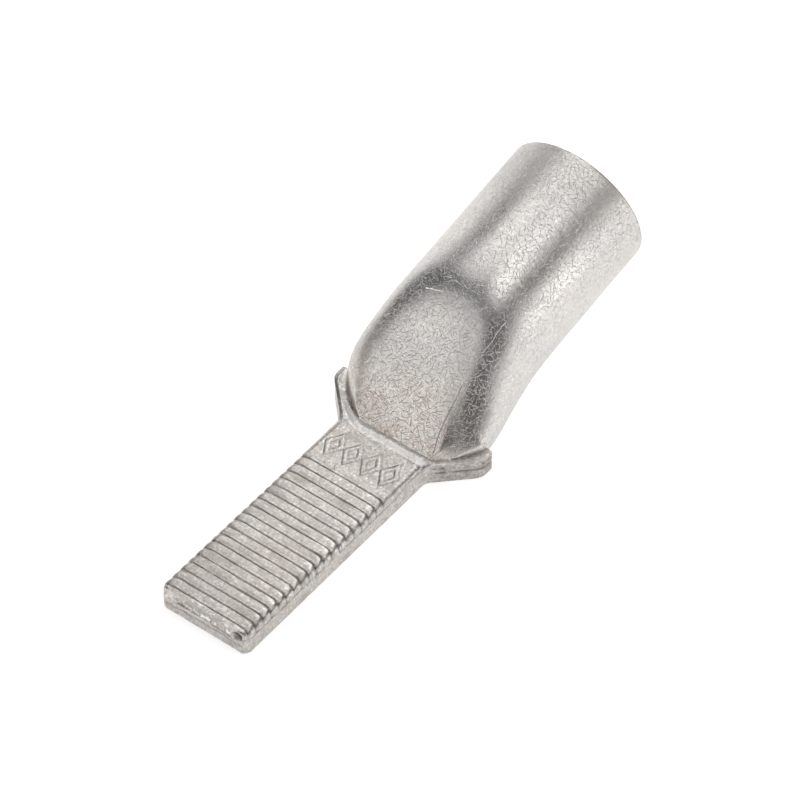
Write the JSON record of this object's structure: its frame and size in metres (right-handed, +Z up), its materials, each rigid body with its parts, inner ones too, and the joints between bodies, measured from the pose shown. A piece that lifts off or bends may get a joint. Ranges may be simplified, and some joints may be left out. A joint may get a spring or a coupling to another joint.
{
  "type": "cable lug",
  "caption": "Tinned copper cable lug: a round crimp barrel whose tube is pressed flat over the neck into a narrow ribbed pin for a terminal clamp.",
  "frame": {"origin": "middle of the pin's flat underside, on the lug's centre line", "axes": "+X along the pin towards the barrel, +Z up through the pin's ribbed face, +Y across the pin"},
  "size_m": [0.0461, 0.014, 0.0142],
  "materials": {
    "tinned_copper": "satin tin plating with fine tumbling scratches"
  },
  "bodies": {
    "root": {"cable_lug": "tinned_copper"}
  },
  "joints": []
}
